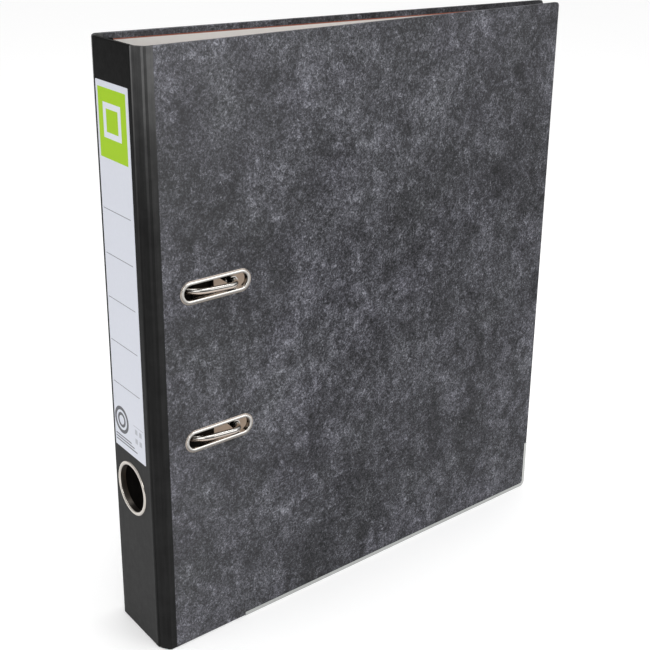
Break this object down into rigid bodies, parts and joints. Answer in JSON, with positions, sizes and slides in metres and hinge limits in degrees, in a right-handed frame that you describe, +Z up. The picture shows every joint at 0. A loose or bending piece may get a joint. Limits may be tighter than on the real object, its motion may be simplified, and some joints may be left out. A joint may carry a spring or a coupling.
{
  "type": "lever arch file",
  "caption": "Closed upright lever arch file: creased board case with mottled covers, dark spine, blank label, thumb ring, slotted front cover and an opening ring mechanism inside.",
  "frame": {"origin": "middle of the closed file's footprint, on the surface it stands on", "axes": "+Z up along the spine, +X from the spine to the free edges, the front cover faces -Y"},
  "size_m": [0.2856, 0.0513, 0.318],
  "materials": {
    "greyboard": "matt",
    "mottled_paper": "satin, cloud pattern",
    "lining_paper": "matt",
    "spine_cloth": "leather grain",
    "label_paper": "smooth",
    "guard_steel": "bright",
    "nickel": "polished",
    "plated_steel": "plated",
    "black_steel": "black enamel",
    "roller_steel": "turned",
    "spring_steel": "drawn"
  },
  "bodies": {
    "rear_cover": {"rear_cover_board": "greyboard", "rear_cover_paper": "mottled_paper", "rear_cover_lining": "lining_paper", "rear_cover_cloth": "spine_cloth", "rear_edge_guard": "guard_steel", "base_plate": "black_steel", "mechanism_rivets": "plated_steel", "filing_post_lower": "plated_steel", "filing_post_upper": "plated_steel", "lever_pin": "plated_steel", "arch_spring_lower": "spring_steel", "arch_spring_upper": "spring_steel"},
    "rear_hinge": {"rear_hinge_board": "greyboard", "rear_hinge_cloth": "spine_cloth", "rear_hinge_lining": "spine_cloth"},
    "spine": {"spine_board": "greyboard", "spine_cloth": "spine_cloth", "spine_lining": "spine_cloth", "spine_label": "label_paper", "thumb_ring_outer": "nickel", "thumb_ring_inner": "nickel"},
    "front_hinge": {"front_hinge_board": "greyboard", "front_hinge_cloth": "spine_cloth", "front_hinge_lining": "spine_cloth"},
    "front_cover": {"front_cover_board": "greyboard", "front_cover_paper": "mottled_paper", "front_cover_lining": "lining_paper", "front_cover_cloth": "spine_cloth", "front_edge_guard": "guard_steel", "slot_eyelet_lower": "nickel", "slot_eyelet_upper": "nickel"},
    "arches": {"arch_wire": "plated_steel"},
    "lever": {"lever": "plated_steel", "roller_pin": "plated_steel"},
    "roller": {"roller": "roller_steel"},
    "compressor": {"compressor_bar": "black_steel", "compressor_clip_lower": "spring_steel", "compressor_clip_upper": "spring_steel"}
  },
  "joints": [
    {"name": "rear_cover_crease", "type": "hinge", "parent": "rear_cover", "child": "rear_hinge", "pos_m": [-0.13736, 0.02438, 0.157], "axis": [0, 0, -1], "range_deg": [0, 58.2]},
    {"name": "rear_spine_crease", "type": "hinge", "parent": "rear_hinge", "child": "spine", "pos_m": [-0.14076, 0.01962, 0.157], "axis": [0, 0, -1], "range_deg": [0, 35.5]},
    {"name": "front_spine_crease", "type": "hinge", "parent": "spine", "child": "front_hinge", "pos_m": [-0.14076, -0.01962, 0.157], "axis": [0, 0, -1], "range_deg": [0, 68.2]},
    {"name": "front_cover_crease", "type": "hinge", "parent": "front_hinge", "child": "front_cover", "pos_m": [-0.13736, -0.02438, 0.157], "axis": [0, 0, -1], "range_deg": [0, 111.8]},
    {"name": "lever_pivot", "type": "hinge", "parent": "rear_cover", "child": "lever", "pos_m": [-0.10161, 0.01425, 0.157], "axis": [0, 0, 1], "range_deg": [0, 90]},
    {"name": "arch_pivot", "type": "hinge", "parent": "rear_cover", "child": "arches", "pos_m": [-0.11843, 0.01764, 0.157], "axis": [0, 0, -1], "range_deg": [0, 9.01]},
    {"name": "roller_spin", "type": "hinge", "parent": "lever", "child": "roller", "pos_m": [-0.10838, 0.01333, 0.157], "axis": [0, 0, 1], "continuous": true},
    {"name": "compressor_slide", "type": "slide", "parent": "rear_cover", "child": "compressor", "axis": [-0.0645, -0.9979, 0], "range_m": [0, 0.028]}
  ],
  "couplings": [
    {"joint": "arch_pivot", "follows": "lever_pivot", "ratio": 0.1}
  ]
}
